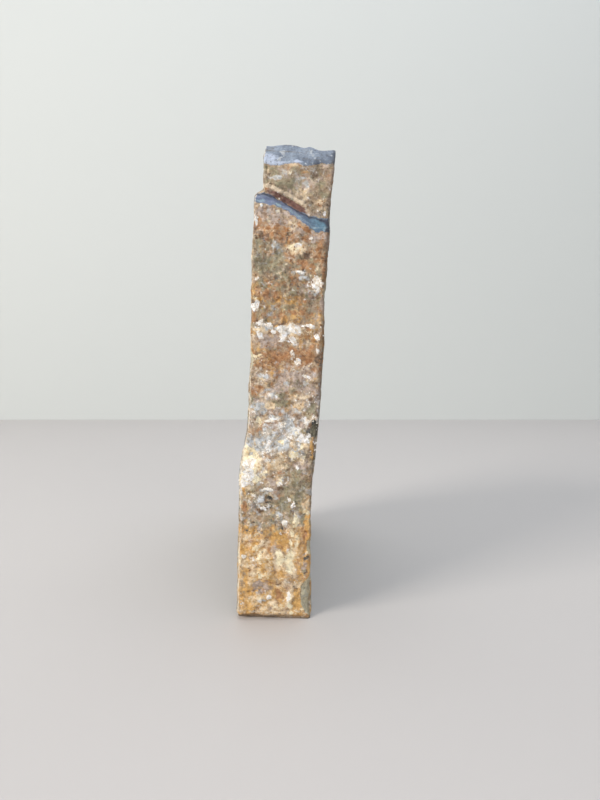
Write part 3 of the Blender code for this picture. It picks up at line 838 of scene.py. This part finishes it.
def cleft_colour(wiring, bent, coarse, medium):
    """The split faces: cloudy grey-green, sheet by sheet, with a painted sheen on lighter streaks and darker streaks
    between them, veins of talc, dark specks and a stained rind.
    """
    clouds = wiring.grain(0.026, 5.0, 5.0, 0.6)
    cleft = wiring.blend(wiring.stretch(clouds, 0.05, 0.95), tone(92, 106, 108), tone(136, 146, 140))
    sheen_streaks = wiring.grain(0.0045, 7.0, 5.0, 0.7, wiring.drawn_out(1.0, 0.3, 1.0))
    # painted sheen: the drawn-out streaks lighter, as flakes of talc catch the light; between them, darker streaks
    cleft = wiring.touched(cleft, sheen_streaks, 0.45, 1.0, 0.55, (172, 180, 172))
    cleft = wiring.touched(cleft, sheen_streaks, 0.35, 0.0, 0.5, (74, 86, 90))
    sheet = wiring.stretch(wiring.field("sheets"), 0.2, 0.9, 0.0, 0.38)
    cleft = wiring.blend(wiring.times(sheet, coarse), cleft, tone(158, 146, 120))
    for seed, size, width, share in ((8.0, 0.05, 0.022, 0.75), (9.0, 0.034, 0.014, 0.55)):
        off = wiring.math("ABSOLUTE", wiring.math("SUBTRACT", wiring.grain(size, seed, 4.0, 0.55), 0.5))
        vein = wiring.times(wiring.stretch(off, width, 0.0, 0.0, share), wiring.stretch(medium, 0.2, 0.6))
        cleft = wiring.blend(vein, cleft, tone(206, 208, 198))
    scattered = wiring.math("MULTIPLY_ADD", coarse, 0.05, wiring.crystals(0.0011, bent))
    cleft = wiring.touched(cleft, scattered, 0.995, 1.01, 0.6, (54, 62, 66))
    cleft = wiring.touched(cleft, scattered, 0.055, 0.04, 0.6, (188, 176, 146))
    rusty = wiring.times(wiring.grain(0.011, 8.5, 4.0, 0.6), wiring.grain(0.0018, 9.5, 3.0, 0.6))
    cleft = wiring.touched(cleft, rusty, 0.45, 0.62, 0.6, (156, 116, 76))
    return wiring.laid_over("rind", coarse, cleft, (172, 142, 104))


def stone_colour(wiring, bent, coarse, medium, fine, crystal):
    """The colour of the stone, from its skin's minerals, its fresh breaks and its split faces, with painted shade in
    its hollows, crack, notch and right corner, painted highlights on its left corner and ledge, and a painted sheen
    on its split faces.
    """
    skin = wiring.blend(wiring.stretch(coarse, 0.2, 0.8), tone(184, 160, 132), tone(154, 136, 114))
    skin = wiring.touched(skin, medium, 0.60, 0.80, 1.0, (208, 188, 162))
    skin = wiring.touched(skin, fine, 0.70, 0.90, 1.0, (122, 100, 78))
    skin = wiring.blend(wiring.field("cleft"), skin, cleft_colour(wiring, bent, coarse, medium))
    for n, (name, light, deep, size, edge) in enumerate(SKIN_TONES):
        small, large = wiring.grain(size, 10.0 + n, 3.0, 0.65), wiring.grain(2.6 * size, 20.0 + n, 2.0, 0.6)
        grain = wiring.math("MULTIPLY_ADD", small, 0.65, wiring.times(large, 0.35))
        grain = wiring.math("MULTIPLY_ADD", grain, 1.3, -0.15)
        own = wiring.blend(crystal, tone(*light), tone(*deep))
        skin = wiring.blend(wiring.cover(wiring.field(name), grain, edge), skin, own)

    skin = speckled(wiring, skin, bent)
    worn = wiring.blend(medium, tone(184, 182, 156), tone(216, 206, 176))
    rubbed = wiring.stretch(wiring.math("MULTIPLY_ADD", medium, 0.5, wiring.field("worn")), 0.5, 1.4, 0.0, 0.85)
    skin = wiring.blend(wiring.times(rubbed, wiring.stretch(wiring.field("worn"), 0.0, 0.3)), skin, worn)
    broken = wiring.math("MAXIMUM", wiring.field("crest"), wiring.field("ledge"))
    ragged = wiring.math("MULTIPLY_ADD", medium, 0.7, wiring.math("SUBTRACT", broken, 0.35))
    skin = wiring.blend(wiring.stretch(ragged, 0.3, 0.7), skin, fresh_colour(wiring, coarse, medium, fine))
    # the crack above the ledge: maroon, and dark as a painted shade of the crevice under the overhang
    crack_shade_colour = wiring.blend(crystal, tone(106, 74, 66), tone(136, 100, 88))
    skin = wiring.laid_over("crack", medium, skin, crack_shade_colour)
    skin = wiring.laid_over("streak", medium, skin, (236, 216, 188))
    # the left corner: pale wear and a painted highlight
    skin = wiring.laid_over("arris", medium, skin, (230, 216, 192))
    # painted shade in the hollow of the right corner
    skin = wiring.laid_over("notch", coarse, skin, (78, 74, 54))
    skin = wiring.blend(wiring.times(wiring.field("shade"), 0.9), skin, tone(190, 186, 184), "MULTIPLY")
    # painted shade in the hollows, the pits and under the foot
    hollow_shade = wiring.times(wiring.field("cavity"), 0.5)
    skin = wiring.blend(hollow_shade, skin, tone(120, 100, 84), "MULTIPLY")
    sparkle = wiring.stretch(wiring.crystals(0.0006, bent), 0.0, 1.0, 0.92, 1.08)
    grey = wiring.add("ShaderNodeCombineColor", {0: sparkle, 1: sparkle, 2: sparkle}).outputs[0]
    return wiring.blend(1.0, skin, grey, "MULTIPLY")


def stone_material():
    """Soapstone: stained and crusted where it has weathered, blue-grey where it is fresh."""
    material, shader = new_material("weathered_soapstone")
    wiring = Wiring(material.node_tree)
    drift = wiring.add("ShaderNodeTexNoise", {"Vector": wiring.where, "Scale": 900.0, "Detail": 2.0})
    drift = wiring.add("ShaderNodeVectorMath", {0: drift.outputs["Color"], 1: (0.5, 0.5, 0.5)}, operation="SUBTRACT")
    drift = wiring.add("ShaderNodeVectorMath", {0: drift.outputs[0], "Scale": 0.0012}, operation="SCALE")
    bent = wiring.add("ShaderNodeVectorMath", {0: wiring.where, 1: drift.outputs[0]}, operation="ADD").outputs[0]
    coarse = wiring.grain(0.0035, 1.0, 4.0, 0.65)
    medium = wiring.grain(0.0012, 2.0, 3.0, 0.7)
    fine = wiring.grain(0.0005, 3.0, 2.0, 0.7)
    crystal = wiring.crystals(0.0011, bent)
    colour = stone_colour(wiring, bent, coarse, medium, fine, crystal)
    wiring.tree.links.new(colour, shader.inputs["Base Color"])

    dull = wiring.stretch(medium, 0.1, 0.9, 0.62, 0.85)
    wiring.tree.links.new(dull, shader.inputs["Roughness"])
    relief = wiring.math("MULTIPLY_ADD", medium, 0.6, wiring.times(fine, 0.4))
    bump = wiring.add("ShaderNodeBump", {"Height": relief, "Strength": 0.7, "Distance": 0.0004})
    wiring.tree.links.new(bump.outputs[0], shader.inputs["Normal"])
    return material


def grain_material(name, light, deep, rough):
    """One mineral's loose crystals, each a little different."""
    material, shader = new_material(name, rough)
    wiring = Wiring(material.node_tree)
    colour = wiring.blend(wiring.crystals(0.0012), tone(*light), tone(*deep))
    wiring.tree.links.new(colour, shader.inputs["Base Color"])
    return material


def plain_material(name, colour, rough):
    """A plain finish for the studio."""
    material, shader = new_material(name, rough)
    shader.inputs["Base Color"].default_value = colour
    return material


# --- Loose crystals ---

# Each kind: the mineral it sits in, how many to a square metre where that is thickest, the smallest and largest
# radius, and the seed of its places.
GRAINS = {
    "talc_crystals": ("talc", 620000.0, 0.00022, 0.00062, 5),
    "iron_crystals": ("rust", 260000.0, 0.00020, 0.00045, 6),
    "dark_crystals": ("dark", 420000.0, 0.00018, 0.00042, 7),
}
GRAIN_FLATNESS = 0.6


def grain_tree():
    """Scatters small faceted crystals over a surface, thickest where the named mineral is."""
    tree = bpy.data.node_groups.new("loose_crystals", "GeometryNodeTree")
    sockets = (("Surface", "NodeSocketGeometry"), ("Mineral", "NodeSocketString"), ("Crowding", "NodeSocketFloat"),
               ("Smallest", "NodeSocketFloat"), ("Largest", "NodeSocketFloat"), ("Seed", "NodeSocketInt"),
               ("Finish", "NodeSocketMaterial"))
    for name, kind in sockets:
        tree.interface.new_socket(name, in_out="INPUT", socket_type=kind)
    tree.interface.new_socket("Crystals", in_out="OUTPUT", socket_type="NodeSocketGeometry")
    given, result = tree.nodes.new("NodeGroupInput"), tree.nodes.new("NodeGroupOutput")

    def step(kind, inputs, **settings):
        return new_node(tree, kind, inputs, **settings)

    mineral = step("GeometryNodeInputNamedAttribute", {"Name": given.outputs["Mineral"]}).outputs["Attribute"]
    share = step("ShaderNodeMapRange", {"Value": mineral, "From Min": 0.15, "From Max": 0.9}).outputs[0]
    crowding = step("ShaderNodeMath", {0: share, 1: given.outputs["Crowding"]}, operation="MULTIPLY").outputs[0]
    spots = step("GeometryNodeDistributePointsOnFaces", {
        "Mesh": given.outputs["Surface"], "Density": crowding, "Seed": given.outputs["Seed"]})
    crystal = step("GeometryNodeMeshIcoSphere", {"Radius": 1.0, "Subdivisions": 1}).outputs["Mesh"]
    crystal = step("GeometryNodeTransform", {"Geometry": crystal, "Scale": (1.0, 0.8, GRAIN_FLATNESS)}).outputs[0]
    size = step("FunctionNodeRandomValue", {
        2: given.outputs["Smallest"], 3: given.outputs["Largest"], "Seed": 11}, data_type="FLOAT").outputs[1]
    spin = step("FunctionNodeRandomValue", {
        0: (-0.5, -0.5, 0.0), 1: (0.5, 0.5, 6.28), "Seed": 12}, data_type="FLOAT_VECTOR").outputs[0]
    turned = step("FunctionNodeRotateRotation", {0: spots.outputs["Rotation"], 1: spin}, rotation_space="LOCAL")
    placed = step("GeometryNodeInstanceOnPoints", {
        "Points": spots.outputs["Points"], "Instance": crystal, "Rotation": turned.outputs[0], "Scale": size})
    whole = step("GeometryNodeRealizeInstances", {"Geometry": placed.outputs[0]})
    finished = step("GeometryNodeSetMaterial", {"Geometry": whole.outputs[0], "Material": given.outputs["Finish"]})
    tree.links.new(finished.outputs[0], result.inputs[0])
    return tree


def loose_crystals(tree, name, stone, finish):
    """One kind of crystal as a plain mesh over the stone."""
    mineral, crowding, smallest, largest, seed = GRAINS[name]
    values = {"Mineral": mineral, "Crowding": crowding, "Smallest": smallest, "Largest": largest, "Seed": seed,
              "Finish": finish}
    carrier = bpy.data.objects.new(name + "_carrier", stone.data)
    bpy.context.scene.collection.objects.link(carrier)
    modifier = carrier.modifiers.new("scatter", "NODES")
    modifier.node_group = tree
    for socket in tree.interface.items_tree:
        if socket.in_out == "INPUT" and socket.name in values:
            modifier[socket.identifier] = values[socket.name]
    seen = carrier.evaluated_get(bpy.context.evaluated_depsgraph_get())
    piece = bpy.data.objects.new(name, bpy.data.meshes.new_from_object(seen))
    bpy.data.objects.remove(carrier, do_unlink=True)
    bpy.context.scene.collection.objects.link(piece)
    return piece


# --- Studio ---

CAMERA_AT = (0.00638, -0.33543, 0.12743)
CAMERA_DOWN = 6.0
CAMERA_LENS = 27.0
WALL_Y = 0.585
ROOM = 3  # how far the floor and the wall reach


def aim(obj, at):
    """Turns a lamp towards a point."""
    obj.rotation_euler = (Vector(at) - obj.location).to_track_quat("-Z", "Y").to_euler()


def lamp(name, place, at, size, power, colour):
    """A square soft lamp."""
    light = bpy.data.lights.new(name, "AREA")
    light.size = size
    light.energy = power
    light.color = colour
    obj = bpy.data.objects.new(name, light)
    obj.location = place
    aim(obj, at)
    bpy.context.scene.collection.objects.link(obj)


def sheet(name, corners, material):
    """A flat piece of the studio."""
    mesh = bpy.data.meshes.new(name)
    mesh.from_pydata(corners, [], [(0, 1, 2, 3)])
    mesh.materials.append(material)
    obj = bpy.data.objects.new(name, mesh)
    bpy.context.scene.collection.objects.link(obj)


def studio():
    """Camera, lamps, floor and wall."""
    camera = bpy.data.cameras.new("camera")
    camera.lens = CAMERA_LENS
    camera.sensor_width = 36.0
    camera.sensor_fit = "AUTO"
    obj = bpy.data.objects.new("camera", camera)
    obj.location = CAMERA_AT
    obj.rotation_euler = (math.radians(90 - CAMERA_DOWN), 0, 0)
    bpy.context.scene.collection.objects.link(obj)
    bpy.context.scene.camera = obj

    middle = (0.0, 0.0, 0.10)
    lamp("key", (-1.15, -0.75, 0.85), middle, 0.6, 17.0, (1.0, 0.96, 0.90))
    lamp("sky", (0.2, 0.1, 1.5), middle, 1.2, 12.0, (0.82, 0.90, 1.0))
    lamp("fill", (0.6, -1.2, 0.5), middle, 0.9, 4.0, (1.0, 0.97, 0.94))
    lamp("rear", (0.2, 1.2, 0.8), middle, 0.9, 8.0, (0.95, 0.97, 1.0))

    world = bpy.data.worlds.new("studio_air")
    world.use_nodes = True
    world.node_tree.nodes["Background"].inputs["Color"].default_value = (0.80, 0.86, 0.95, 1.0)
    world.node_tree.nodes["Background"].inputs["Strength"].default_value = 0.45
    bpy.context.scene.world = world
    bpy.context.scene.view_settings.view_transform = "Standard"

    floor = plain_material("studio_floor", tone(196, 190, 186), 0.6)
    wall = plain_material("studio_wall", tone(214, 216, 212), 0.9)
    left, right = (-ROOM, WALL_Y, 0), (ROOM, WALL_Y, 0)
    sheet("floor", [(-ROOM, -ROOM, 0), (ROOM, -ROOM, 0), right, left], floor)
    sheet("wall", [left, right, (ROOM, WALL_Y, ROOM), (-ROOM, WALL_Y, ROOM)], wall)


studio()
slab = bpy.data.objects.new("soapstone_slab", stone_mesh())
bpy.context.scene.collection.objects.link(slab)
slab.data.materials.append(stone_material())
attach(slab, "root")
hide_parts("slab")

scatter = grain_tree()
GRAIN_FINISHES = {
    "talc_crystals": grain_material("talc_flakes", (250, 246, 238), (226, 214, 194), 0.55),
    "iron_crystals": grain_material("iron_stained_grains", (176, 128, 84), (132, 92, 60), 0.6),
    "dark_crystals": grain_material("dark_grains", (78, 76, 72), (44, 44, 46), 0.45),
}
for kind, finish in GRAIN_FINISHES.items():
    crystals = loose_crystals(scatter, kind, slab, finish)
    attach(crystals, "root")
